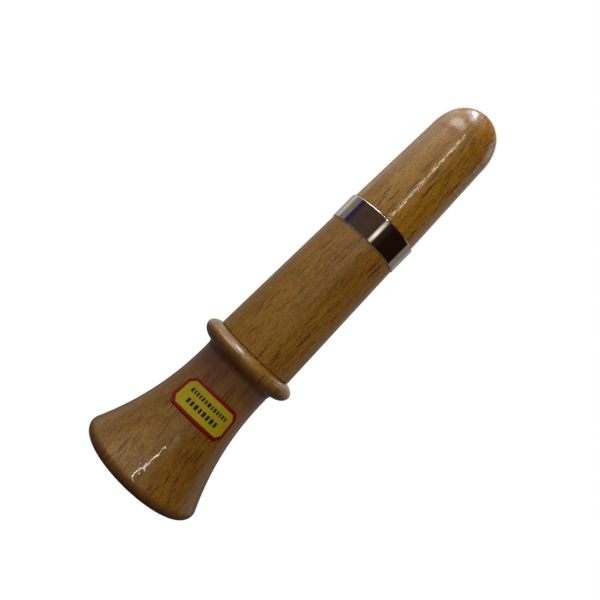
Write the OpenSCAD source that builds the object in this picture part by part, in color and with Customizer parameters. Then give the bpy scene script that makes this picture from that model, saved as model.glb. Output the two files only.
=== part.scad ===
// Blown wooden game call: flared bell with a bead, tapered barrel, metal ferrule, domed mouthpiece and reed insert.
// It stands on the bell's rim. The origin is the centre of the rim's face, and +Z runs up the axis to the tip.
// The label and the reed's flat side face -Y and +Y.

/* [Bell] */
// How far the flare spreads beyond the waist's radius
flare_spread = 9.6; // [7:0.1:12]
// Height of the rounded corner of the rim
rim_round = 2.8; // [2:0.1:3.4]
// Radius of the bell's hollow at the rim
mouth_r = 14.0; // [12:0.1:15]
// Radius of the waist, where the flare ends under the bead
waist_r = 11.35; // [10.5:0.05:12]
// Height of the waist above the rim
waist_z = 40.3; // [36:0.1:42]
// Depth of the flared hollow
throat_z = 28; // [22:1:32]
// Radius of the straight bore through the bell
bore_r = 5.5; // [4:0.1:6]

/* [Bead] */
// Radius of the bead at its widest
bead_r = 15.55; // [14:0.05:17]
// Height of the bead's widest line
bead_z = 44.8; // [44.4:0.1:45]

/* [Barrel] */
// Radius of the barrel where it stands on the bead
barrel_low_r = 12.5; // [12:0.05:13]
// Radius of the barrel under the ferrule
barrel_top_r = 11.15; // [10.9:0.05:11.5]
// Height of the seam between bead and barrel
seam_z = 47.2; // [47:0.1:48]
// Height of the barrel's upper end
barrel_top_z = 97.9; // [95:0.1:100]
// Radius of the barrel's bore between its sockets
barrel_bore_r = 7.3; // [7.2:0.1:7.6]
// Radius of the bell's tenon
bell_tenon_r = 8.0; // [7.5:0.1:8.5]
// Length of the bell's tenon
bell_tenon_l = 12; // [8:1:13]

/* [Ferrule] */
// Outer radius of the ferrule
ferrule_r = 11.42; // [11.3:0.01:11.6]
// Thickness of its wall
ferrule_t = 0.5; // [0.4:0.05:0.7]
// Width of the ferrule along the axis
ferrule_w = 8; // [6:0.5:9]

/* [Mouthpiece] */
// Radius at the shoulder, above the ferrule
mouth_low_r = 10.85; // [10.6:0.05:11]
// Radius where the dome starts
mouth_top_r = 9.7; // [9.2:0.05:10]
// Height where the dome starts
dome_z = 127; // [126:0.1:129]
// Height of the whole dome, if it had no hole
dome_h = 12.4; // [11:0.1:13]
// Radius of the blow hole
blow_r = 2.4; // [2:0.1:3]
// Radius of the chamber round the reed
chamber_r = 6.0; // [5.8:0.1:6.4]
// Radius of the tenon
tenon_r = 8.4; // [8.2:0.05:8.5]
// Length of the tenon below the shoulder
tenon_l = 12.9; // [11:0.1:13]

/* [Reed insert] */
// Radius of the insert's round base
base_r = 6.45; // [6.3:0.05:6.6]
// Length of the base inside the tenon
base_l = 15; // [14:0.5:16]
// Radius of the round tone board
board_r = 5.4; // [5:0.1:5.5]
// Length of the tone board beyond the base
board_l = 27; // [24:0.5:28]
// Height of the flat that the reed lies on, above the axis
flat_y = 0.4; // [0:0.1:1]
// Drop of the facing at its tip, the gap that the reed beats over
facing_drop = 1.0; // [0.9:0.1:1.2]
// Radius of the sound bore and of the channel's round bottom
channel_r = 2.0; // [1.6:0.1:2.1]
// Width of the reed
reed_w = 8; // [7:0.1:8.2]
// Thickness of the reed
reed_t = 0.35; // [0.25:0.05:0.4]
// Thickness of the cork wedge at its outer end
wedge_t = 1.8; // [1.5:0.1:1.9]

/* [Label] */
// Length of the label round the bell
label_arc = 19.3; // [14:0.1:20]
// Width of the label along the axis
label_w = 9.8; // [8:0.1:12]
// Height of the label's middle
label_z = 28.3; // [27:0.1:30]
// Size of the cut corners
label_cut = 2.0; // [1:0.1:2.5]
// Thickness of the paper
label_t = 0.12; // [0.1:0.01:0.2]

/* [Hidden] */
$fn = 96;

// Clearances: glued or pressed in one body, and a hand-slid fit between two bodies
glue_gap = 0.02;
slide_gap = 0.05;
// Flat ends that meet but belong to pieces that come apart
end_gap = 0.1;

// Straight steps in each curved stretch of an outline
flare_steps = 18;
arc_steps = 8;
dome_steps = 20;

// The flare's outline: radius falls from the rim to the waist as a power of the height left
flare_power = 2.15;
flare_start_z = 3.8;
hollow_power = 1.5;
label_steps = 4;
lip_round = 1.0;

// The bead is an ellipse that is a little longer below than above, with a small cove at its foot
bead_rise = bead_r - waist_r;
bead_low = 3.05;
bead_high = 2.5;
cove = 0.5;

// Barrel
edge = 0.3;
ferrule_z = barrel_top_z - ferrule_w;
bell_tenon_top = seam_z + bell_tenon_l;
stop_gap = 0.35;

// Mouthpiece
shoulder_z = barrel_top_z + end_gap;
tenon_z = shoulder_z - tenon_l;
lip = 0.5;
dome_power = 2.3;
chamber_top_z = dome_z + 1.5;
chamber_cone_h = 3.4;
cork_l = 7;
cork_depth = 0.6;
cork_z = tenon_z + 3;

// Reed insert
flange_t = 1.4;
flange_r = 7.0;
base_z = tenon_z - end_gap;
seat_top_z = base_z + base_l;
board_tip_z = seat_top_z + board_l;
clamp_z = seat_top_z + 3;
notch_z = seat_top_z - 7;
notch_w = reed_w + 0.2;
notch_roof_y = flat_y + reed_t + wedge_t + end_gap;
notch_roof_drop = 0.5;
channel_y = -2.0;
channel_end_z = board_tip_z - 4;
ring_r = 0.7;
ring_mid_r = base_r + slide_gap - glue_gap - ring_r;
groove_r = ring_mid_r - ring_r - glue_gap;
groove_w = 2 * ring_r + 0.2;
lower_ring_z = base_z + 2.4;
upper_ring_z = base_z + 5.8;
reed_tip_z = board_tip_z + 0.4;
reed_heel_z = notch_z + 0.3;
wedge_low_z = notch_z + 0.6;
wedge_high_z = clamp_z - 1.2;

// Outline helpers: points of an arc of an ellipse, and the two power curves of the bell
function arc(cx, cz, rx, rz, from, to, n = arc_steps) =
    [for (i = [0 : n]) let (a = from + (to - from) * i / n) [cx + rx * cos(a), cz + rz * sin(a)]];
function flare_r(z) = waist_r + flare_spread * pow(max(0, 1 - z / waist_z), flare_power);
function hollow_r(z) = bore_r + (mouth_r - bore_r) * pow(max(0, 1 - z / throat_z), hollow_power);
function dome_rise(r) = dome_h * pow(1 - pow(r / mouth_top_r, dome_power), 1 / dome_power);

// The rim's corner is an ellipse that meets the flare without a kink
flare_slope = flare_spread * flare_power / waist_z * pow(1 - flare_start_z / waist_z, flare_power - 1);
corner_end = asin((flare_start_z - rim_round) / rim_round);
corner_w = flare_slope * rim_round / tan(corner_end);
corner_x = flare_r(flare_start_z) - corner_w * cos(corner_end);

flare_points = [for (i = [0 : flare_steps])
    let (z = flare_start_z + (waist_z - flare_start_z) * i / flare_steps) [flare_r(z), z]];
hollow_points = [for (i = [0 : flare_steps])
    let (z = throat_z - (throat_z - lip_round) * i / flare_steps) [hollow_r(z), z]];

module turn(points) {
    rotate_extrude() polygon(points);
}

// Plain tube between two heights
module tube(r_out, r_in, z0, z1) {
    translate([0, 0, z0]) difference() {
        cylinder(r = r_out, h = z1 - z0);
        translate([0, 0, -1]) cylinder(r = r_in, h = z1 - z0 + 2);
    }
}

module bell() {
    outline = concat(
        arc(corner_x, rim_round, corner_w, rim_round, -90, corner_end),
        flare_points,
        [[waist_r + 0.15, bead_z - bead_low - cove]],
        arc(waist_r, bead_z, bead_rise, bead_low, -80, 0),
        arc(waist_r, bead_z, bead_rise, bead_high, 8, 68),
        [[barrel_low_r - edge, seam_z], [bell_tenon_r, seam_z], [bell_tenon_r, bell_tenon_top],
         [bore_r, bell_tenon_top]],
        hollow_points,
        arc(mouth_r + lip_round, lip_round, lip_round, lip_round, 200, 270)
    );
    color("peru") turn(outline);
}

module barrel() {
    color("peru") difference() {
        turn([[0, seam_z], [barrel_low_r - edge, seam_z], [barrel_low_r, seam_z + edge],
              [barrel_top_r, ferrule_z], [ferrule_r - ferrule_t - glue_gap, ferrule_z],
              [ferrule_r - ferrule_t - glue_gap, barrel_top_z], [0, barrel_top_z]]);
        translate([0, 0, seam_z - 1]) cylinder(r = barrel_bore_r, h = barrel_top_z - seam_z + 2);
        translate([0, 0, seam_z - 1]) cylinder(r = bell_tenon_r + glue_gap, h = bell_tenon_l + 1 + glue_gap);
        translate([0, 0, tenon_z - stop_gap]) cylinder(r = tenon_r + slide_gap, h = barrel_top_z - tenon_z + 1);
    }
}

module ferrule() {
    r_in = ferrule_r - ferrule_t;
    color("silver") turn([[r_in, ferrule_z + glue_gap], [ferrule_r - edge / 2, ferrule_z + glue_gap],
                          [ferrule_r, ferrule_z + edge], [ferrule_r, barrel_top_z - edge],
                          [ferrule_r - edge / 2, barrel_top_z], [r_in, barrel_top_z]]);
}

// Paper octagon wrapped on the flare, on the -Y side
module label() {
    half_chord = flare_r(label_z) * sin(label_arc / 2 / flare_r(label_z) * 180 / PI);
    z0 = label_z - label_w / 2;
    inner = [for (i = [0 : label_steps]) let (z = z0 + label_w * i / label_steps) [flare_r(z) + glue_gap, z]];
    outer = [for (i = [0 : label_steps]) let (z = z0 + label_w * (label_steps - i) / label_steps)
        [flare_r(z) + glue_gap + label_t, z]];
    x = half_chord;
    h = label_w / 2 + 1;
    cut = label_cut + 1;
    color("gold") intersection() {
        turn(concat(inner, outer));
        translate([0, 0, label_z]) rotate([90, 0, 0]) linear_extrude(height = 2 * waist_r)
            polygon([[-x, -h + cut], [-x + cut, -h], [x - cut, -h], [x, -h + cut],
                     [x, h - cut], [x - cut, h], [-x + cut, h], [-x, h - cut]]);
    }
}

module mouthpiece() {
    lip_r = blow_r + lip;
    tip_z = dome_z + dome_rise(lip_r);
    dome_points = [for (i = [0 : dome_steps])
        let (r = lip_r + (mouth_top_r - lip_r) * cos(90 * i / dome_steps)) [r, dome_z + dome_rise(r)]];
    outline = concat(
        [[chamber_r, tenon_z + base_l], [base_r + slide_gap, tenon_z + base_l], [base_r + slide_gap, tenon_z],
         [tenon_r - edge, tenon_z], [tenon_r, tenon_z + edge],
         [tenon_r, cork_z], [tenon_r - cork_depth, cork_z], [tenon_r - cork_depth, cork_z + cork_l],
         [tenon_r, cork_z + cork_l], [tenon_r, shoulder_z], [mouth_low_r - edge, shoulder_z],
         [mouth_low_r, shoulder_z + edge]],
        dome_points,
        arc(lip_r, tip_z - lip, lip, lip, 100, 180, 4),
        [[blow_r, chamber_top_z + chamber_cone_h], [chamber_r, chamber_top_z]]
    );
    color("peru") turn(outline);
}

module tenon_cork() {
    color("tan") tube(tenon_r + slide_gap / 2, tenon_r - cork_depth + glue_gap, cork_z + glue_gap,
                      cork_z + cork_l - glue_gap);
}

// Wedge-shaped cutter that leaves the flat and the falling facing of the tone board
module facing_cut() {
    rotate([90, 0, 90]) linear_extrude(height = 20, center = true)
        polygon([[flat_y, seat_top_z], [flat_y, clamp_z], [flat_y - facing_drop, board_tip_z],
                 [flat_y - facing_drop, board_tip_z + 1], [10, board_tip_z + 1], [10, seat_top_z]]);
}

// Room for the reed's heel and the wedge, open towards the tip; the roof rises a little outwards
module notch() {
    rotate([90, 0, 90]) linear_extrude(height = notch_w, center = true)
        polygon([[flat_y, notch_z], [flat_y, seat_top_z + 1], [notch_roof_y, seat_top_z + 1],
                 [notch_roof_y - notch_roof_drop, notch_z]]);
}

module ring_groove(z) {
    translate([0, 0, z - groove_w / 2]) difference() {
        cylinder(r = base_r + 1, h = groove_w);
        translate([0, 0, -1]) cylinder(r = groove_r, h = groove_w + 2);
    }
}

module tone_board() {
    color("dimgray") difference() {
        union() {
            translate([0, 0, base_z - flange_t]) cylinder(r = flange_r, h = flange_t);
            translate([0, 0, base_z - 0.5]) cylinder(r = base_r, h = base_l + 0.5);
            translate([0, 0, seat_top_z - 1]) cylinder(r = board_r, h = board_l + 1);
        }
        facing_cut();
        notch();
        ring_groove(lower_ring_z);
        ring_groove(upper_ring_z);
        translate([0, channel_y, base_z - flange_t - 1])
            cylinder(r = channel_r, h = channel_end_z - base_z + flange_t + 1);
        translate([-channel_r, channel_y, clamp_z])
            cube([2 * channel_r, 5, channel_end_z - clamp_z]);
    }
}

module o_ring(z) {
    color("black") translate([0, 0, z]) rotate_extrude() translate([ring_mid_r, 0]) circle(r = ring_r, $fn = 24);
}

module lower_o_ring() {
    o_ring(lower_ring_z);
}

module upper_o_ring() {
    o_ring(upper_ring_z);
}

module reed() {
    color("white") translate([-reed_w / 2, flat_y, reed_heel_z]) cube([reed_w, reed_t, reed_tip_z - reed_heel_z]);
}

module reed_wedge() {
    y0 = flat_y + reed_t + glue_gap;
    color("burlywood") rotate([90, 0, 90]) linear_extrude(height = reed_w - 0.2, center = true)
        polygon([[y0, wedge_low_z], [y0, wedge_high_z], [y0 + wedge_t, wedge_high_z],
                 [y0 + wedge_t - notch_roof_drop, wedge_low_z]]);
}

bell();
barrel();
ferrule();
label();
mouthpiece();
tenon_cork();
tone_board();
lower_o_ring();
upper_o_ring();
reed();
reed_wedge();
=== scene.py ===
"""Looks for a turned wooden game call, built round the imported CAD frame.

Lengths are in millimetres and are turned to metres where meshes, lamps and the camera are made.
Sections: sizes, mesh tools, materials, pieces, stage with its lamps and camera.
"""

import math

import bmesh
import bpy
from mathutils import Matrix, Vector


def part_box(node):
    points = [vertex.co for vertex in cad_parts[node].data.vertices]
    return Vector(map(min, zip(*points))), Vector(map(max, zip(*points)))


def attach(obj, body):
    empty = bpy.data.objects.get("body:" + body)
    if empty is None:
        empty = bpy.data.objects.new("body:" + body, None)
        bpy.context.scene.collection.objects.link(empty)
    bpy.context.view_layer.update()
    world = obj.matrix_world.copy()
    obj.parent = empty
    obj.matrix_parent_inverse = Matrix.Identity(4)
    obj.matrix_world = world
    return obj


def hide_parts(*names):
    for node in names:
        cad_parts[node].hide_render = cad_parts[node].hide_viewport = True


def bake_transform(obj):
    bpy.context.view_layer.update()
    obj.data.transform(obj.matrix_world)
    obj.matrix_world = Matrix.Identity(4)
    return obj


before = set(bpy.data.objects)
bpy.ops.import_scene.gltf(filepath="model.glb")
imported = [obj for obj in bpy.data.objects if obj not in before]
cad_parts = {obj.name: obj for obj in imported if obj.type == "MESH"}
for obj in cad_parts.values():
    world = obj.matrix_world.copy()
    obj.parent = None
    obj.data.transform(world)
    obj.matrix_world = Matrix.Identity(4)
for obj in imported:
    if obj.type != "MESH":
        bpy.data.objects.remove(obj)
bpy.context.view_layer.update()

MM = 0.001
TAU = 2 * math.pi


# ---------------------------------------------------------------- sizes, in mm

def low(node):
    """The lowest corner of a CAD node's box."""
    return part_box(node)[0] / MM


def high(node):
    """The highest corner of a CAD node's box."""
    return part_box(node)[1] / MM


# Fits, as the CAD has them: glued, slid by hand, ends that meet, and the room under a tenon
GLUE_GAP, SLIDE_GAP, END_GAP, STOP_GAP = 0.02, 0.05, 0.1, 0.35

# Rounded edges: of turned pieces, where mouthpiece and barrel meet, of moulded plastic and of cut cork
TURNED_EDGE, SOFT_EDGE, CRISP_EDGE, CORK_EDGE = 0.3, 0.35, 0.12, 0.15

# The chamfer at the seam on the bead, and the rounding at the mouth of the bell's hollow
CHAMFER, LIP_ROUND = 0.3, 1.0

# The bell's flare, hollow and bead
WAIST_R, WAIST_Z = 11.35, 40.3
FLARE_SPREAD, FLARE_POWER, FLARE_START_Z, RIM_H = 9.6, 2.15, 3.8, 2.8
MOUTH_R, BORE_R, THROAT_Z, HOLLOW_POWER = 14.0, 5.5, 28.0, 1.5
BEAD_R, BEAD_Z, BEAD_LOW, BEAD_HIGH, COVE = 15.55, 44.8, 3.05, 2.5, 0.5
BELL_TENON_R = 8.0

# The barrel and the ferrule
SEAM_Z, BARREL_TOP_Z = low("barrel").z, high("barrel").z
BARREL_LOW_R, BARREL_TOP_R, BARREL_BORE_R = high("barrel").x, 11.15, 7.3
FERRULE_Z, FERRULE_R, FERRULE_WALL = low("ferrule").z, high("ferrule").x, 0.5

# The mouthpiece
TENON_Z, TIP_Z = low("mouthpiece").z, high("mouthpiece").z
SHOULDER_Z = BARREL_TOP_Z + END_GAP
MOUTH_LOW_R, MOUTH_TOP_R = high("mouthpiece").x, 9.7
DOME_Z, DOME_H, DOME_POWER, BLOW_R = 127.0, 12.4, 2.3, 2.4
TENON_R, SEAT_R, SEAT_L, CHAMBER_R = 8.4, 6.5, 15, 6.0
SEAT_TOP_Z = TENON_Z + SEAT_L
CHAMBER_TOP_Z, CHAMBER_CONE_H = DOME_Z + 1.5, 3.4
CORK_DEPTH, CORK_LOW_Z, CORK_HIGH_Z = 0.6, low("tenon_cork").z, high("tenon_cork").z

# The sticker, and its rows of plain bars: place on the label, height and gap of the bars, and their widths
LABEL_ARC, LABEL_W, LABEL_Z = 19.3, 9.8, 28.3
LABEL_CUT, LABEL_BORDER, LABEL_T = 2.0, 1.1, 0.12
LABEL_ROWS = (
    (1.45, 1.20, 0.40, (0.8, 0.5, 0.6, 0.5, 0.7, 0.6, 0.9, 0.5, 0.7, 0.6, 0.5, 0.7, 0.6)),
    (-1.35, 1.50, 0.52, (0.9, 0.8, 1.0, 0.7, 0.9, 0.8, 1.0, 0.8)),
)


def flare_r(z):
    """Outer radius of the bell at height z, between the rim and the waist."""
    return WAIST_R + FLARE_SPREAD * max(0.0, 1 - z / WAIST_Z) ** FLARE_POWER


def hollow_r(z):
    """Radius of the bell's flared hollow at height z."""
    return BORE_R + (MOUTH_R - BORE_R) * max(0.0, 1 - z / THROAT_Z) ** HOLLOW_POWER


def dome_rise(r):
    """How far the mouthpiece's dome stands over its start at radius r."""
    return DOME_H * (1 - (r / MOUTH_TOP_R) ** DOME_POWER) ** (1 / DOME_POWER)


# ---------------------------------------------------------------- mesh tools

def span(start, end, steps):
    """Evenly spaced numbers from start to end, both included."""
    return [start + (end - start) * i / steps for i in range(steps + 1)]


def arc(cx, cz, rx, rz, start, end, steps):
    """Points (r, z) of an elliptical arc, with its angles in degrees."""
    angles = (math.radians(a) for a in span(start, end, steps))
    return [(cx + rx * math.cos(a), cz + rz * math.sin(a)) for a in angles]


def rounded(outline):
    """A closed outline in which each point (r, z, radius) has become a small curve."""
    steps = 4
    points = []
    for i, p in enumerate(outline):
        if len(p) == 2:
            points.append(Vector(p))
            continue
        here = Vector(p[:2])
        before = Vector(outline[i - 1][:2]) - here
        after = Vector(outline[(i + 1) % len(outline)][:2]) - here
        cut = min(p[2], 0.45 * before.length, 0.45 * after.length)  # neighbouring curves never meet
        a, b = here + before.normalized() * cut, here + after.normalized() * cut
        for t in span(0, 1, steps):
            points.append(a.lerp(here, t).lerp(here.lerp(b, t), t))
    return points


def supported(points):
    """The outline with an extra point near both ends of each long straight, which keeps its shading flat."""
    margin = 0.12
    result = []
    for i, p in enumerate(points):
        q = points[(i + 1) % len(points)]
        result.append(p)
        if (q - p).length > 5 * margin:
            step = (q - p).normalized() * margin
            result += [p + step, q - step]
    return result


def mesh_object(name, bm, materials):
    """A new object from bm, smooth, with the materials in its slots."""
    bmesh.ops.recalc_face_normals(bm, faces=bm.faces)
    for face in bm.faces:
        face.smooth = True
    mesh = bpy.data.meshes.new(name)
    bm.to_mesh(mesh)
    bm.free()
    for material in materials:
        mesh.materials.append(material)
    piece = bpy.data.objects.new(name, mesh)
    bpy.context.scene.collection.objects.link(piece)
    return piece


def turned(name, outline, materials, slot_of=None, sides=192):
    """A lathe-turned piece: a closed outline swept round Z.

    The outline's points are (r, z) or (r, z, radius of the rounding there). slot_of(r, z) gives the material
    slot of the surface at a place of the outline."""
    points = supported(rounded(outline))
    bm = bmesh.new()
    rings = []
    for p in points:
        r, z = p.x * MM, p.y * MM
        rings.append([bm.verts.new((r * math.cos(TAU * k / sides), r * math.sin(TAU * k / sides), z))
                      for k in range(sides)])
    for i, ring in enumerate(rings):
        following = rings[(i + 1) % len(rings)]
        middle = (points[i] + points[(i + 1) % len(points)]) / 2
        for k in range(sides):
            n = (k + 1) % sides
            face = bm.faces.new((ring[k], ring[n], following[n], following[k]))
            face.material_index = slot_of(middle.x, middle.y) if slot_of else 0
    return mesh_object(name, bm, materials)


def softened(name, node, material, width):
    """A copy of a CAD node's mesh with its edges sharper than 28 degrees rounded."""
    sharp = math.radians(28)
    bm = bmesh.new()
    bm.from_mesh(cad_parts[node].data)
    bmesh.ops.remove_doubles(bm, verts=bm.verts, dist=1e-7)
    bmesh.ops.dissolve_limit(bm, angle_limit=math.radians(1), verts=bm.verts, edges=bm.edges)
    piece = mesh_object(name, bm, [material])
    bevel = piece.modifiers.new("edges", "BEVEL")
    bevel.width = width * MM
    bevel.segments = 3
    bevel.limit_method = "ANGLE"
    bevel.angle_limit = sharp
    bevel.harden_normals = True
    weighted = piece.modifiers.new("flats", "WEIGHTED_NORMAL")
    weighted.keep_sharp = True
    apply_modifiers(piece)
    return piece


def apply_modifiers(piece):
    """Replaces the piece's mesh with the result of its modifiers."""
    depsgraph = bpy.context.evaluated_depsgraph_get()
    piece.data = bpy.data.meshes.new_from_object(piece.evaluated_get(depsgraph))
    piece.modifiers.clear()


# ---------------------------------------------------------------- materials

class Nodes:
    """Short calls for building a node tree."""

    def __init__(self, tree):
        self.tree = tree

    def add(self, kind, settings=None, **inputs):
        """A node of that kind; inputs are values or sockets, with _ for spaces in their names."""
        node = self.tree.nodes.new(kind)
        for key, value in (settings or {}).items():
            setattr(node, key, value)
        for key, value in inputs.items():
            self.put(node.inputs[key.replace("_", " ")], value)
        return node

    def put(self, socket, value):
        """Links the value to an input if it is a socket, and sets it there if not."""
        if isinstance(value, bpy.types.NodeSocket):
            self.tree.links.new(value, socket)
        else:
            socket.default_value = value

    def math(self, operation, a, b=0.0):
        node = self.add("ShaderNodeMath", {"operation": operation})
        self.put(node.inputs[0], a)
        self.put(node.inputs[1], b)
        return node.outputs[0]

    def total(self, first, *others):
        """The sum of (value, weight) pairs."""
        result = self.math("MULTIPLY", *first)
        for value, weight in others:
            result = self.math("ADD", result, self.math("MULTIPLY", value, weight))
        return result

    def vector(self, operation, a, b=(0, 0, 0)):
        """A sum, product or length of vectors."""
        node = self.add("ShaderNodeVectorMath", {"operation": operation})
        self.put(node.inputs[0], a)
        self.put(node.inputs[1], b)
        return node.outputs["Value" if operation == "LENGTH" else "Vector"]

    def place(self, scale=(1, 1, 1), turn=(0, 0, 0), source=None):
        """Object coordinates in millimetres, or the source's, turned and then scaled."""
        if source is None:
            source = self.vector("MULTIPLY", self.add("ShaderNodeTexCoord").outputs["Object"], [1 / MM] * 3)
        if any(turn):
            source = self.add("ShaderNodeMapping", Vector=source, Rotation=turn).outputs[0]
        return self.add("ShaderNodeMapping", Vector=source, Scale=scale).outputs[0]

    def noise(self, vector, detail=3.0, roughness=0.55):
        """Soft noise, with one swell for each unit of the vector."""
        return self.add("ShaderNodeTexNoise", Vector=vector, Scale=1.0, Detail=detail,
                        Roughness=roughness).outputs["Fac"]

    def remap(self, value, start, end, to_start=0.0, to_end=1.0, smooth=True):
        """The value moved from the range start..end to the range to_start..to_end, and held inside it."""
        settings = {"interpolation_type": "SMOOTHSTEP" if smooth else "LINEAR"}
        return self.add("ShaderNodeMapRange", settings, Value=value, From_Min=start, From_Max=end,
                        To_Min=to_start, To_Max=to_end).outputs[0]

    def mix(self, factor, a, b):
        """Colour a where the factor is 0 and b where it is 1."""
        node = self.add("ShaderNodeMix", {"data_type": "RGBA"})
        self.put(node.inputs[0], factor)
        self.put(node.inputs[6], a if isinstance(a, bpy.types.NodeSocket) else (*a, 1))
        self.put(node.inputs[7], b if isinstance(b, bpy.types.NodeSocket) else (*b, 1))
        return node.outputs[2]

    def bump(self, height, distance, strength=1.0, normal=None):
        """A normal bent by a height map that is distance high, over another normal if one is given."""
        node = self.add("ShaderNodeBump", Height=height, Distance=distance * MM, Strength=strength)
        if normal is not None:
            self.put(node.inputs["Normal"], normal)
        return node.outputs[0]


class Finish(Nodes):
    """A new material and its node tree."""

    def __init__(self, name):
        self.material = bpy.data.materials.new(name)
        self.material.use_nodes = True
        super().__init__(self.material.node_tree)
        self.shader = self.tree.nodes["Principled BSDF"]

    def shade(self, **inputs):
        """Sets the shader's inputs."""
        for key, value in inputs.items():
            self.put(self.shader.inputs[key.replace("_", " ")], value)


def ray_flecks(n, grain, cell, size, share, seed):
    """Beech's ray flecks: thin upright sheets of cells that run into the wood along Y.

    cell is their spacing (x, y, z) in mm, size a fleck's half-size as a share of the cell, and share how many
    cells hold one. Each cell's own random colour says whether it holds a fleck, how large and how dark."""
    # a jog of half a millimetre across the sheets makes their outlines ragged
    jog = n.noise(n.place((0.7, 0.3, 1.1), source=grain), detail=2, roughness=0.6)
    jog = n.add("ShaderNodeCombineXYZ", X=n.math("MULTIPLY", jog, 0.55)).outputs[0]
    shifted = n.vector("ADD", n.vector("ADD", grain, jog), (seed, 2.3 * seed, 5.1 * seed))
    vector = n.place([1 / c for c in cell], source=shifted)
    cells = n.add("ShaderNodeTexVoronoi", {"feature": "F1"}, Vector=vector, Scale=1.0, Randomness=1.0)
    parts = n.add("ShaderNodeSeparateColor", Color=cells.outputs["Color"])
    present = n.remap(parts.outputs["Red"], share, share - 0.02)
    reach = n.remap(parts.outputs["Green"], 0, 1, 0.55 * size, size, smooth=False)
    inside = n.math("DIVIDE", cells.outputs["Distance"], reach)
    body = n.remap(inside, 1.0, 0.72)
    tone = n.remap(parts.outputs["Blue"], 0, 1, 0.5, 1.0, smooth=False)
    return n.math("MULTIPLY", n.math("MULTIPLY", body, present), tone)


# Beech under clear lacquer: pale and deep tones of the wood, the colours of its flecks and pores, and a
# painted shade
BEECH_PALE = (0.68, 0.330, 0.013)
BEECH_DEEP = (0.36, 0.130, 0.003)
BEECH_FLECK = (0.125, 0.036, 0.001)
BEECH_PORE = (0.26, 0.080, 0.002)
BEECH_PAINTED_SHADE = (0.20, 0.052, 0.001)


def beech(name, lean, seed, shade, coat, gloss, waves, bloom=0.4, stain_and_painted_shade=None):
    """Turned and lacquered beech.

    lean tilts the grain from the axis, in degrees. seed picks another part of the plank. shade scales the
    wood's colours: partly the piece's own tone and partly painted shade, darker on the pieces lower down.
    coat and gloss are the lacquer's weight and roughness. waves is the spacing and height in mm of its swell
    and the height of its grit. bloom is the specular level of the wood under it.
    The last argument, if given, is a function (n, height, drift) that gives a mask of painted shade. Noise
    scales are swells per mm, across the grain (x, y) and along it (z)."""
    n = Finish(name)

    # the grain leans, turns and sways a little, and each seed lies elsewhere in the plank
    plain = n.place(turn=(0, math.radians(lean), math.radians(7 * seed)))
    sway = n.noise(n.place((0.05, 0.05, 0.03), source=plain), detail=2)
    sway = n.math("MULTIPLY", n.math("SUBTRACT", sway, 0.5), 2.4)
    offset = n.add("ShaderNodeCombineXYZ", X=sway, Y=sway, Z=7.7 * seed).outputs[0]
    grain = n.vector("ADD", plain, offset)

    # growth rings 2.9 mm apart round a far pith, slow drifts of tone, strands, fibres and speckle
    from_pith = n.vector("MULTIPLY", n.vector("ADD", grain, (9, 38, 0)), (1, 1, 0.035))
    ring_phase = n.math("FRACT", n.math("DIVIDE", n.vector("LENGTH", from_pith), 2.9))
    rings = n.remap(ring_phase, 0.55, 1.0)
    drift = n.noise(n.place((0.11, 0.11, 0.035), source=grain), detail=3)
    strands = n.noise(n.place((1.1, 1.1, 0.06), source=grain), detail=3)
    fibres = n.noise(n.place((4.2, 4.2, 0.8), source=grain), detail=5, roughness=0.75)
    speckle = n.noise(n.place((2.6, 2.6, 1.3), source=grain), detail=3, roughness=0.8)
    tone = n.total((drift, 0.5), (strands, 0.45), (rings, 0.12), (fibres, 0.5), (speckle, 1.5))
    # both tones scaled by shade: partly the piece's own tone, partly painted shade on the pieces lower down
    pale, dark = ([shade * c for c in tint] for tint in (BEECH_PALE, BEECH_DEEP))
    colour = n.mix(n.remap(tone, 1.16, 1.84), pale, dark)

    # painted shade, laid over the wood where the mask gives it
    if stain_and_painted_shade:
        height = n.add("ShaderNodeSeparateXYZ", Vector=n.place()).outputs["Z"]
        colour = n.mix(stain_and_painted_shade(n, height, drift), colour, BEECH_PAINTED_SHADE)

    # pores, and small and large flecks, which fade where the surface would show a sheet's broad side
    pores = n.noise(n.place((8, 8, 1.6), source=grain), detail=2)
    pores = n.remap(pores, 0.56, 0.72)
    colour = n.mix(n.math("MULTIPLY", pores, 0.55), colour, BEECH_PORE)
    small = ray_flecks(n, grain, (0.50, 4, 3.8), 0.46, 0.58, 3.1 * seed + 1)
    large = ray_flecks(n, grain, (0.58, 6, 8.5), 0.46, 0.66, 1.7 * seed + 5)
    flecks = n.math("MAXIMUM", n.math("MULTIPLY", small, 0.7), large)
    normal = n.add("ShaderNodeTexCoord").outputs["Normal"]
    across = n.add("ShaderNodeSeparateXYZ", Vector=normal).outputs["X"]
    flecks = n.math("MULTIPLY", flecks, n.remap(n.math("ABSOLUTE", across), 0.6, 1.0, 1.0, 0.15))
    colour = n.mix(flecks, colour, BEECH_FLECK)

    # the wood's own relief, and over it the lacquer's swell and grit
    relief = n.math("SUBTRACT", fibres, n.math("MULTIPLY", flecks, 0.6))
    spacing, swell, dust = waves
    ripple = n.noise(n.place((1 / spacing, 1 / spacing, 0.5 / spacing), source=grain), detail=1.5)
    grit = n.noise(n.place((2.6, 2.6, 1.6), source=grain), detail=3, roughness=0.6)
    film = n.bump(grit, dust, 1.0, normal=n.bump(ripple, swell, 1.0))
    n.shade(Base_Color=colour, Roughness=0.45, Specular_IOR_Level=bloom, Normal=n.bump(relief, 0.02, 0.5),
            Coat_Weight=coat, Coat_Roughness=gloss, Coat_IOR=1.45, Coat_Normal=film)
    return n.material


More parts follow.
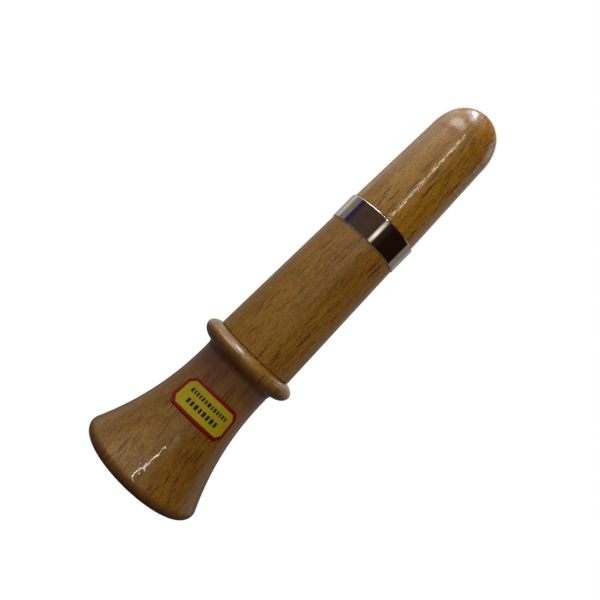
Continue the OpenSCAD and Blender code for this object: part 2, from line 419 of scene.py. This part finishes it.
def bell_painted_shade(n, height, drift):
    """Painted shade: a mask that darkens the cove under the bead, the bead's underside and the rim's corner.
    """
    above_flare = n.remap(height, WAIST_Z - 9.3, WAIST_Z - 1.8)
    below_bead = n.remap(height, BEAD_Z, BEAD_Z - 1.6)
    rim = n.remap(height, FLARE_START_Z + 1, RIM_H - 1, 0.0, 0.9)
    painted_shade_places = n.math("MAXIMUM", n.math("MULTIPLY", above_flare, below_bead), rim)
    uneven = n.remap(drift, 0.3, 0.65, 0.65, 1.0)
    return n.math("MULTIPLY", painted_shade_places, uneven)


def raw_beech():
    """Bored and tenoned surfaces: no lacquer, paler, with the rings that the tool left."""
    n = Finish("raw_beech")
    tool_step = 0.45
    grain = n.place()
    fibres = n.noise(n.place((4, 4, 0.3), source=grain), detail=4)
    drift = n.noise(n.place((0.3, 0.3, 0.1), source=grain), detail=2)
    colour = n.mix(n.remap(fibres, 0.3, 0.75), (0.50, 0.29, 0.115), (0.36, 0.175, 0.055))
    colour = n.mix(n.remap(drift, 0.4, 0.7), colour, (0.33, 0.15, 0.045))
    flecks = ray_flecks(n, grain, (0.6, 9, 3.5), 0.42, 0.30, 4.0)
    colour = n.mix(flecks, colour, (0.19, 0.07, 0.02))
    height = n.add("ShaderNodeSeparateXYZ", Vector=grain).outputs["Z"]
    tool = n.math("SINE", n.math("MULTIPLY", height, TAU / tool_step))
    relief = n.math("ADD", fibres, n.math("MULTIPLY", tool, 0.12))
    n.shade(Base_Color=colour, Roughness=n.remap(fibres, 0.3, 0.7, 0.6, 0.82),
            Normal=n.bump(relief, 0.03, 0.6))
    return n.material


def nickel():
    """Polished nickel plate with hairline marks round the ring."""
    n = Finish("nickel_plate")
    lines = n.noise(n.place((0.25, 0.25, 9)), detail=4)
    smudges = n.noise(n.place((0.5, 0.5, 0.4)), detail=3)
    colour = n.mix(n.remap(smudges, 0.35, 0.75), (0.66, 0.61, 0.555), (0.53, 0.49, 0.44))
    rough = n.math("ADD", n.remap(smudges, 0.4, 0.75, 0.06, 0.10), n.remap(lines, 0.5, 0.8, 0.0, 0.04))
    n.shade(Base_Color=colour, Metallic=1.0, Roughness=rough, Normal=n.bump(lines, 0.0006, 0.3))
    return n.material


def paper(name, colour, worn):
    """Printed label paper, a little worn, with stains."""
    n = Finish(name)
    fibre = n.noise(n.place((5, 5, 5)), detail=4)
    stain_and_painted_shade = n.noise(n.place((0.35, 0.35, 0.35)), detail=3)
    shade = n.mix(n.remap(fibre, 0.35, 0.75, 0.0, 0.35), colour, worn)
    shade = n.mix(n.remap(stain_and_painted_shade, 0.5, 0.8, 0.0, 0.4), shade, worn)
    n.shade(Base_Color=shade, Roughness=n.remap(fibre, 0.3, 0.7, 0.5, 0.65), Specular_IOR_Level=0.25,
            Normal=n.bump(fibre, 0.01, 0.5))
    return n.material


def cork():
    """Pressed cork: pale and dark grains with small pits."""
    n = Finish("cork")
    at, grains_per_mm = n.place(), 1.7
    grains = n.add("ShaderNodeTexVoronoi", Vector=at, Scale=grains_per_mm)
    edges = n.add("ShaderNodeTexVoronoi", {"feature": "DISTANCE_TO_EDGE"}, Vector=at, Scale=grains_per_mm)
    edges = edges.outputs["Distance"]
    tones = n.add("ShaderNodeSeparateColor", Color=grains.outputs["Color"]).outputs["Red"]
    dust = n.noise(n.place((3, 3, 3)), detail=4)
    colour = n.mix(n.remap(tones, 0.1, 0.9), (0.47, 0.27, 0.12), (0.27, 0.13, 0.05))
    colour = n.mix(n.remap(dust, 0.6, 0.75), colour, (0.10, 0.045, 0.02))
    colour = n.mix(n.remap(edges, 0.06, 0.0, 0.0, 0.6), colour, (0.14, 0.06, 0.025))
    relief = n.math("ADD", n.remap(edges, 0.0, 0.12), n.math("MULTIPLY", dust, 0.8))
    n.shade(Base_Color=colour, Roughness=n.remap(dust, 0.3, 0.7, 0.75, 0.92),
            Normal=n.bump(relief, 0.06, 0.7))
    return n.material


def moulded(name, colour, roughness, grain_mm=0.25, relief=0.008, coat=0.0):
    """Moulded plastic or rubber with a fine skin and a trace of dust."""
    n = Finish(name)
    skin = n.noise(n.place([1 / grain_mm] * 3), detail=3)
    dust = n.noise(n.place((0.9, 0.9, 0.9)), detail=4)
    lighter = [c * 1.8 + 0.02 for c in colour]
    shade = n.mix(n.remap(dust, 0.5, 0.8, 0.0, 0.5), colour, lighter)
    rough = n.remap(skin, 0.3, 0.7, roughness - 0.06, roughness + 0.08)
    n.shade(Base_Color=shade, Roughness=rough, Coat_Weight=coat, Normal=n.bump(skin, relief, 0.6))
    return n.material


def reed_film():
    """Milky polyester film with faint sanding lines along the reed."""
    n = Finish("reed_film")
    lines = n.noise(n.place((12, 2, 0.3)), detail=3)
    haze = n.noise(n.place((0.6, 0.6, 0.25)), detail=2)
    colour = n.mix(n.remap(haze, 0.35, 0.7), (0.78, 0.77, 0.70), (0.66, 0.64, 0.56))
    n.shade(Base_Color=colour, Roughness=n.remap(lines, 0.3, 0.7, 0.22, 0.42), Coat_Weight=0.3,
            Coat_Roughness=0.15, Normal=n.bump(lines, 0.004, 0.5))
    return n.material


# ---------------------------------------------------------------- pieces

def settle(piece, body, slot, *nodes):
    """The piece rides on a body and stands for CAD nodes, which are hidden. slot is not used."""
    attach(piece, body)
    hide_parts(*nodes)
    return piece


def make_bell(lacquered, bare):
    """Rim corner, flare, bead, tenon and hollow in one turned piece; its hollow and tenon are bare wood."""
    slope = FLARE_SPREAD * FLARE_POWER / WAIST_Z * (1 - FLARE_START_Z / WAIST_Z) ** (FLARE_POWER - 1)
    corner_end = math.asin(FLARE_START_Z / RIM_H - 1)
    corner_w = slope * RIM_H / math.tan(corner_end)
    corner_x = flare_r(FLARE_START_Z) - corner_w * math.cos(corner_end)
    tenon_top = high("bell").z
    bead_rise = BEAD_R - WAIST_R
    cove_foot = (WAIST_R + 0.15, BEAD_Z - BEAD_LOW - COVE, 0.4)
    flare = [(flare_r(z), z) for z in span(FLARE_START_Z, WAIST_Z, 44)][1:]
    hollow = [(hollow_r(z), z) for z in span(THROAT_Z, LIP_ROUND, 30)]
    outline = (
        arc(corner_x, RIM_H, corner_w, RIM_H, -90, math.degrees(corner_end), 16)
        + flare
        + [cove_foot]
        + arc(WAIST_R, BEAD_Z, bead_rise, BEAD_LOW, -80, 0, 14)
        + arc(WAIST_R, BEAD_Z, bead_rise, BEAD_HIGH, 6, 68, 12)
        + [(BARREL_LOW_R - CHAMFER, SEAM_Z, 0.1), (BELL_TENON_R, SEAM_Z),
           (BELL_TENON_R, tenon_top, TURNED_EDGE), (BORE_R, tenon_top, TURNED_EDGE)]
        + hollow
        + arc(MOUTH_R + LIP_ROUND, LIP_ROUND, LIP_ROUND, LIP_ROUND, 200, 260, 6)
    )

    def slot_of(r, z):
        """1, bare wood, in the hollow and on the tenon; 0, lacquer, outside."""
        inside = z < THROAT_Z + 1 and r < hollow_r(z) + 0.3 and z > 1.2
        return 1 if inside or r < BELL_TENON_R + 0.1 else 0

    piece = turned("bell_turned", outline, [lacquered, bare], slot_of)
    return settle(piece, "call_body", "beech", "bell")


def make_barrel(lacquered, bare):
    """Tapered tube with the ferrule's seat and a socket at each end; its bore and sockets are bare wood."""
    seat_r = FERRULE_R - FERRULE_WALL - GLUE_GAP
    low_socket_r, low_socket_top = BELL_TENON_R + GLUE_GAP, high("bell").z + GLUE_GAP
    top_socket_r, top_socket_low = TENON_R + SLIDE_GAP, TENON_Z - STOP_GAP
    outline = [
        (BARREL_LOW_R - CHAMFER, SEAM_Z, 0.08), (BARREL_LOW_R, SEAM_Z + CHAMFER, 0.15),
        (BARREL_TOP_R, FERRULE_Z, 0.06), (seat_r, FERRULE_Z), (seat_r, BARREL_TOP_Z, 0.15),
        (top_socket_r, BARREL_TOP_Z, SOFT_EDGE), (top_socket_r, top_socket_low),
        (BARREL_BORE_R, top_socket_low, 0.2), (BARREL_BORE_R, low_socket_top),
        (low_socket_r, low_socket_top), (low_socket_r, SEAM_Z),
    ]

    def slot_of(r, z):
        """1, bare wood, in the bore, in the sockets and on the lower end; 0, lacquer, outside."""
        return 1 if r < TENON_R + 0.1 or (r < BARREL_LOW_R - 1 and z < SEAM_Z + 0.1) else 0

    piece = turned("barrel_turned", outline, [lacquered, bare], slot_of)
    return settle(piece, "call_body", "beech", "barrel")


def make_ferrule(metal):
    """The ring pressed on the barrel's upper end."""
    r_in = FERRULE_R - FERRULE_WALL
    outline = [
        (r_in, FERRULE_Z, 0.1), (FERRULE_R, FERRULE_Z, TURNED_EDGE),
        (FERRULE_R, BARREL_TOP_Z, TURNED_EDGE), (r_in, BARREL_TOP_Z, 0.1),
    ]
    return settle(turned("ferrule_ring", outline, [metal]), "call_body", "nickel", "ferrule")


def make_mouthpiece(lacquered, bare):
    """Tenon with the cork's groove, dome with the blow hole, and the reed chamber.

    The inside and the tenon are bare wood."""
    lip = 0.5
    lip_r = BLOW_R + lip
    groove_r, groove_low, groove_high = TENON_R - CORK_DEPTH, CORK_LOW_Z - GLUE_GAP, CORK_HIGH_Z + GLUE_GAP
    dome = [lip_r + (MOUTH_TOP_R - lip_r) * math.cos(math.radians(a)) for a in span(0, 90, 44)]
    outline = (
        [(CHAMBER_R, SEAT_TOP_Z, 0.1), (SEAT_R, SEAT_TOP_Z), (SEAT_R, TENON_Z, TURNED_EDGE),
         (TENON_R, TENON_Z, TURNED_EDGE), (TENON_R, groove_low), (groove_r, groove_low),
         (groove_r, groove_high), (TENON_R, groove_high), (TENON_R, SHOULDER_Z),
         (MOUTH_LOW_R, SHOULDER_Z, SOFT_EDGE)]
        + [(r, DOME_Z + dome_rise(r)) for r in dome]
        + arc(lip_r, TIP_Z - lip, lip, lip, 80, 180, 8)
        + [(BLOW_R, CHAMBER_TOP_Z + CHAMBER_CONE_H, 0.4), (CHAMBER_R, CHAMBER_TOP_Z, 0.4)]
    )

    def slot_of(r, z):
        """1, bare wood, in the chamber and the blow hole and below the shoulder; 0, lacquer, outside."""
        inside = r < CHAMBER_R + 0.1 and z < CHAMBER_TOP_Z or r < BLOW_R + 0.05 and z < TIP_Z - 2
        cone = z > CHAMBER_TOP_Z - 0.5 and z < CHAMBER_TOP_Z + CHAMBER_CONE_H and r < CHAMBER_R - 0.05
        return 1 if inside or cone or z < SHOULDER_Z - 0.02 else 0

    piece = turned("mouthpiece_turned", outline, [lacquered, bare], slot_of)
    return settle(piece, "mouthpiece", "beech", "mouthpiece")


def make_tenon_cork(material):
    """The cork ring in the tenon's groove."""
    r_out, r_in = high("tenon_cork").x, TENON_R - CORK_DEPTH + GLUE_GAP
    outline = [
        (r_in, CORK_LOW_Z), (r_out, CORK_LOW_Z, TURNED_EDGE),
        (r_out, CORK_HIGH_Z, TURNED_EDGE), (r_in, CORK_HIGH_Z),
    ]
    return settle(turned("tenon_cork_ring", outline, [material]), "mouthpiece", "cork", "tenon_cork")


def make_o_ring(node, material):
    """A rubber ring of round section in one of the insert's grooves."""
    low_z, high_z, r_out = low(node).z, high(node).z, high(node).x
    r = (high_z - low_z) / 2
    outline = arc(r_out - r, low_z + r, r, r, 0, 345, 23)
    return settle(turned(node + "_seal", outline, [material], sides=128), "reed_insert", "seal_rubber", node)


def make_label(field, border, ink):
    """The octagonal sticker: cut flat in (u, v), split along its printed edges and laid on the flare."""
    columns, rows = 76, 20
    u_half, v_half, middle_z = LABEL_ARC / 2, LABEL_W / 2, LABEL_Z
    marks = []
    for v, h, gap, widths in LABEL_ROWS:
        u = -(sum(widths) + gap * (len(widths) - 1)) / 2
        for w in widths:
            marks.append((u + w / 2, v, w, h))
            u += w + gap
    bm = bmesh.new()
    bmesh.ops.create_grid(bm, x_segments=columns, y_segments=rows, size=1)
    for v in bm.verts:
        v.co = Vector((v.co.x * u_half, v.co.y * v_half, 0))

    def octagon(inset):
        """Lines (point, outward normal) of the octagon, that far inside the label's edge."""
        lines = [((s * (u_half - inset), 0), (s, 0)) for s in (-1, 1)]
        lines += [((0, s * (v_half - inset)), (0, s)) for s in (-1, 1)]
        slant = u_half + v_half - LABEL_CUT - inset * math.sqrt(2)
        lines += [((a * slant, 0), (a, b)) for a in (-1, 1) for b in (-1, 1)]
        return lines

    def cut(point, normal, drop=False):
        """Splits the sheet along a line, and drops what is outside it if asked."""
        bmesh.ops.bisect_plane(bm, geom=bm.verts[:] + bm.edges[:] + bm.faces[:], plane_co=(*point, 0),
                               plane_no=Vector((*normal, 0)).normalized(), clear_outer=drop)

    for point, normal in octagon(0):
        cut(point, normal, drop=True)
    for point, normal in octagon(LABEL_BORDER):
        cut(point, normal)
    for v in sorted({v + s * h / 2 for _, v, _, h in marks for s in (-1, 1)}):
        cut((0, v), (0, 1))
    for u in sorted({u + s * w / 2 for u, _, w, _ in marks for s in (-1, 1)}):
        cut((u, 0), (1, 0))

    def printed(at):
        """The slot of a face there: 0 the field, 1 the border, 2 a bar."""
        if any((at.x - p[0]) * q[0] + (at.y - p[1]) * q[1] > 0 for p, q in octagon(LABEL_BORDER)):
            return 1
        return 2 if any(abs(at.x - u) < w / 2 and abs(at.y - v) < h / 2 for u, v, w, h in marks) else 0

    for face in bm.faces:
        face.material_index = printed(face.calc_center_median())
    made = bmesh.ops.extrude_face_region(bm, geom=bm.faces[:])
    for v in (g for g in made["geom"] if isinstance(g, bmesh.types.BMVert)):
        v.co.z = LABEL_T

    # paper laid on a cone: a straight row of it sinks towards its ends, by the radius of the unrolled cone
    slope = (flare_r(middle_z - 1) - flare_r(middle_z + 1)) / 2
    unrolled = flare_r(middle_z) / math.sin(math.atan(slope))
    for v in bm.verts:
        turn = v.co.x / flare_r(middle_z)
        z = middle_z + v.co.y - v.co.x ** 2 / 2 / unrolled
        r = flare_r(z) + GLUE_GAP + v.co.z
        v.co = Vector((r * math.sin(turn), -r * math.cos(turn), z)) * MM
    return settle(mesh_object("label_sheet", bm, [field, border, ink]), "call_body", "sticker", "label")


def make_insert(material):
    """The moulded base and tone board that hold the reed."""
    piece = softened("insert_moulding", "tone_board", material, CRISP_EDGE)
    return settle(piece, "reed_insert", "insert_plastic", "tone_board")


def make_wedge(material):
    """The cork block that clamps the reed's heel."""
    piece = softened("wedge_cork_block", "reed_wedge", material, CORK_EDGE)
    return settle(piece, "wedge", "cork", "reed_wedge")


def make_reed(material):
    """A strip with rounded tip corners and soft edges."""
    (x0, y0, z0), (x1, y1, z1) = low("reed"), high("reed")
    tip_round, edge, steps = 1.6, 0.08, 90
    bm = bmesh.new()
    rows = []
    for z in span(z0, z1, steps):
        into = max(0.0, z - (z1 - tip_round))
        pull = tip_round - math.sqrt(max(0.0, tip_round ** 2 - into ** 2))
        pull = min(pull, tip_round * 0.98)
        a, b = x0 + pull, x1 - pull
        ring = [(a, y0 + edge), (a + edge, y0), (b - edge, y0), (b, y0 + edge),
                (b, y1 - edge), (b - edge, y1), (a + edge, y1), (a, y1 - edge)]
        rows.append([bm.verts.new((x * MM, y * MM, z * MM)) for x, y in ring])
    for first, second in zip(rows, rows[1:]):
        for k in range(len(first)):
            n = (k + 1) % len(first)
            bm.faces.new((first[k], first[n], second[n], second[k]))
    bm.faces.new(rows[0])
    bm.faces.new(rows[-1])
    piece = mesh_object("reed_tongue", bm, [material])
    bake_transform(piece)
    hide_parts("reed")
    return piece


bare_wood = raw_beech()
# shade: partly each piece's own tone, partly painted shade, darker on the pieces lower down
make_bell(beech("beech_bell", lean=6, seed=1.0, shade=0.72, coat=0.8, gloss=0.04,
                # the bell's painted shade in the cove, under the bead and round the rim's corner
                waves=(2.1, 0.12, 0.006), bloom=0.5, stain_and_painted_shade=bell_painted_shade),
          bare_wood)
make_barrel(beech("beech_barrel", lean=0.5, seed=2.0, shade=0.88, coat=0.6, gloss=0.36,
                  waves=(1.0, 0.03, 0.012)), bare_wood)
make_ferrule(nickel())
make_mouthpiece(beech("beech_mouthpiece", lean=5, seed=3.0, shade=1.03, coat=0.9, gloss=0.02,
                      waves=(0.9, 0.02, 0.022)), bare_wood)
make_label(paper("label_yellow", (0.72, 0.56, 0.010), (0.55, 0.38, 0.012)),
           paper("label_red", (0.34, 0.002, 0.001), (0.22, 0.003, 0.002)),
           paper("label_ink", (0.022, 0.020, 0.014), (0.06, 0.05, 0.02)))
cork_stuff = cork()
make_tenon_cork(cork_stuff)
make_wedge(cork_stuff)
make_insert(moulded("insert_black", (0.018, 0.018, 0.020), 0.30, coat=0.25))
rubber = moulded("seal_rubber", (0.014, 0.013, 0.013), 0.5, grain_mm=0.12, relief=0.012)
make_o_ring("lower_o_ring", rubber)
make_o_ring("upper_o_ring", rubber)
make_reed(reed_film())


# ---------------------------------------------------------------- stage

# The eye stands VIEW_AZIMUTH degrees off the label's middle, towards -X. CENTRE is the place on the call that
# the middle of the picture shows, and ROLL turns the picture, in degrees.
VIEW_AZIMUTH = 5.1
EYE_DISTANCE, EYE_Z, LENS, SENSOR = 210.0, 62.4, 45.0, 36.0
CENTRE_X, CENTRE_Z, ROLL = -1.4, 66.6, 44.5

# The lamps are placed round, and aimed at, this height on the call's axis
MIDDLE_Z = 66.0

# How far the broad lamps on the left stand from the call, and the share of a lamp over which its edges dim
LEFT_DISTANCE, SOFT_FADE, CEILING_FADE, FOOT_FADE = 560.0, 0.35, 0.3, 0.45


def around(azimuth, elevation, distance):
    """A point that far from the call's middle; azimuth is counted to the left of the view, in degrees."""
    a, e = math.radians(azimuth + VIEW_AZIMUTH), math.radians(elevation)
    offset = Vector((-math.sin(a) * math.cos(e), -math.cos(a) * math.cos(e), math.sin(e)))
    return (Vector((0, 0, MIDDLE_Z)) + offset * distance) * MM


def dim_edges(light, fade):
    """Makes a rectangular light fall off softly towards its edges."""
    light.use_nodes = True
    n = Nodes(light.node_tree)
    place = n.add("ShaderNodeSeparateXYZ", Vector=n.add("ShaderNodeNewGeometry").outputs["Parametric"])
    strength = 1.0
    for axis in ("X", "Y"):
        for start, end in ((0.0, fade), (1.0, 1.0 - fade)):
            strength = n.math("MULTIPLY", strength, n.remap(place.outputs[axis], start, end))
    n.put(n.tree.nodes["Emission"].inputs["Strength"], strength)


def panel(name, azimuth, elevation, distance, size, radiance, colour, fade=0.0):
    """A soft rectangular light that faces the call.

    size is (width, height) in mm, radiance is in scene units, and fade is the share of its width and height
    over which it dims towards each edge."""
    light = bpy.data.lights.new(name, "AREA")
    light.shape = "RECTANGLE"
    light.size, light.size_y = size[0] * MM, size[1] * MM
    light.energy = radiance * math.pi * light.size * light.size_y
    light.color = colour
    if fade:
        dim_edges(light, fade)
    lamp = bpy.data.objects.new(name, light)
    bpy.context.scene.collection.objects.link(lamp)
    place = around(azimuth, elevation, distance)
    aim = around(0, 0, 0) - place
    lamp.matrix_world = Matrix.Translation(place) @ aim.to_track_quat("-Z", "Y").to_matrix().to_4x4()
    return lamp


def strip(name, low_end, high_end, distance, width, radiance, colour, fade=0.0):
    """A narrow lamp between two directions (azimuth, elevation) seen from the call."""
    ends = [around(*end, distance) for end in (low_end, high_end)]
    along = ends[1] - ends[0]
    lamp = panel(name, 0, 0, distance, (along.length / MM, width), radiance, colour, fade=fade)
    place = (ends[0] + ends[1]) / 2
    facing = (place - around(0, 0, 0)).normalized()
    x = along.normalized()
    y = facing.cross(x).normalized()
    lamp.matrix_world = Matrix.Translation(place) @ Matrix((x, y, x.cross(y))).transposed().to_4x4()
    return lamp


def make_world():
    """The surroundings, by what sees them.

    To the eye they are white, and on matt surfaces a soft light, warmer on the right. In gloss they are a dim
    room, darker on the right and violet at the far left, with a pale wall behind the call."""
    world = bpy.data.worlds.new("studio")
    bpy.context.scene.world = world
    world.use_nodes = True
    world.node_tree.nodes.clear()
    n = Nodes(world.node_tree)
    direction = n.add("ShaderNodeSeparateXYZ", Vector=n.add("ShaderNodeTexCoord").outputs["Generated"])
    x, y = direction.outputs["X"], direction.outputs["Y"]
    rightwards = n.remap(x, -0.35, 0.55, smooth=False)
    far_left = n.remap(x, -0.965, -0.985, smooth=False)
    behind = n.remap(y, 0.13, 0.19, smooth=False)
    straight_behind = n.remap(y, 0.55, 0.95, smooth=False)
    front = n.mix(rightwards, (0.080, 0.051, 0.039), (0.0145, 0.0065, 0.0035))
    front = n.mix(far_left, front, (0.040, 0.022, 0.090))
    wall = n.mix(straight_behind, (0.25, 0.23, 0.205), (0.48, 0.46, 0.44))
    room = n.mix(behind, front, wall)
    fill = n.mix(rightwards, (0.195, 0.172, 0.148), (0.19, 0.145, 0.118))
    ray = n.add("ShaderNodeLightPath")
    light = n.mix(ray.outputs["Is Diffuse Ray"], room, fill)
    light = n.mix(ray.outputs["Is Camera Ray"], light, (1, 1, 1))
    shown = n.add("ShaderNodeBackground", Color=light).outputs[0]
    n.add("ShaderNodeOutputWorld", Surface=shown)


def make_floor():
    """A pale sheet under the rim that fades into the white surroundings to the eye.

    In gloss it is dark near the call and a little paler far from it."""
    half_size_m = 4.0
    near, far, mirror_end = 25, 160, 340
    n = Finish("pale_sheet")
    distance = n.vector("LENGTH", n.place())
    ray = n.add("ShaderNodeLightPath")
    seen = n.math("MULTIPLY", n.remap(distance, near, far, 0.96, 1.0), ray.outputs["Is Camera Ray"])
    mirrored = n.math("MULTIPLY", n.remap(distance, far, mirror_end, 0.0, 0.16), ray.outputs["Is Glossy Ray"])
    n.shade(Base_Color=(0.16, 0.155, 0.15, 1), Roughness=0.9, Specular_IOR_Level=0.0,
            Emission_Color=(1, 1, 1, 1), Emission_Strength=n.math("ADD", seen, mirrored))
    bm = bmesh.new()
    bmesh.ops.create_grid(bm, x_segments=2, y_segments=2, size=half_size_m)
    floor = mesh_object("floor_sheet", bm, [n.material])


def make_lamps():
    """Soft panels all round, and two strips in front that draw the long bright lines on the lacquer.

    The key isn't mirrored in gloss, and the broad lamps on the left show only in gloss."""
    panel("ceiling", 60, 78, 430, (460, 380), 0.7, (0.97, 0.98, 1.0), fade=CEILING_FADE)
    panel("skylight", 86, 73, 430, (360, 95), 11.0, (0.74, 0.85, 1.0), fade=CEILING_FADE)
    panel("key", 5, 38, 364, (260, 200), 1.0, (0.90, 1.0, 0.80)).visible_glossy = False
    for name, azimuth, elevation, size, radiance, colour in (
            ("side", 92, 38, (1000, 480), 1.3, (1.0, 1.0, 0.96)),
            ("upper", 92, 66, (620, 220), 2.5, (0.94, 0.97, 1.0)),
            ("flank", 56, 38, (700, 220), 6.0, (1.0, 1.0, 0.96)),
            ("window", 32, 62, (320, 100), 3.2, (0.75, 0.86, 1.0)),
            ("corner", 130, 16, (300, 240), 0.35, (1.0, 0.98, 0.95))):
        lamp = panel(name, azimuth, elevation, LEFT_DISTANCE, size, radiance, colour, fade=SOFT_FADE)
        lamp.visible_diffuse = False
    panel("right", -112, 38, 520, (360, 300), 0.9, (1.0, 0.95, 0.88), fade=SOFT_FADE)
    panel("back", 182, 42, 480, (560, 300), 1.6, (1.0, 0.98, 0.95), fade=SOFT_FADE)
    strip("strip_lamp", (-7, 16.6), (13.5, 32.0), 540, 11, 34.0, (1.0, 0.94, 0.78))
    strip("strip_foot", (-8, 9.5), (-8, 13.8), 515, 150, 1.6, (1.0, 0.96, 0.84), fade=FOOT_FADE)


def make_camera():
    """A level camera, rolled so that the call lies across the picture, and shifted to frame it."""
    a, roll = math.radians(VIEW_AZIMUTH), math.radians(ROLL)
    right, up = Vector((math.cos(a), -math.sin(a), 0)), Vector((0, 0, 1))
    back = Vector((-math.sin(a), -math.cos(a), 0))
    image_up = up * math.cos(roll) - right * math.sin(roll)
    image_right = image_up.cross(back)
    camera = bpy.data.objects.new("camera", bpy.data.cameras.new("camera"))
    bpy.context.scene.collection.objects.link(camera)
    camera.data.lens, camera.data.sensor_width = LENS, SENSOR
    camera.data.clip_start, camera.data.clip_end = 0.005, 20
    offset = (right * CENTRE_X + up * (CENTRE_Z - EYE_Z)) * (LENS / SENSOR / EYE_DISTANCE)
    camera.data.shift_x, camera.data.shift_y = offset.dot(image_right), offset.dot(image_up)
    eye = back * EYE_DISTANCE + up * EYE_Z
    turn = Matrix((image_right, image_up, back)).transposed().to_4x4()
    camera.matrix_world = Matrix.Translation(eye * MM) @ turn
    bpy.context.scene.camera = camera


make_world()
make_floor()
make_lamps()
make_camera()
bpy.context.scene.view_settings.view_transform = "Standard"
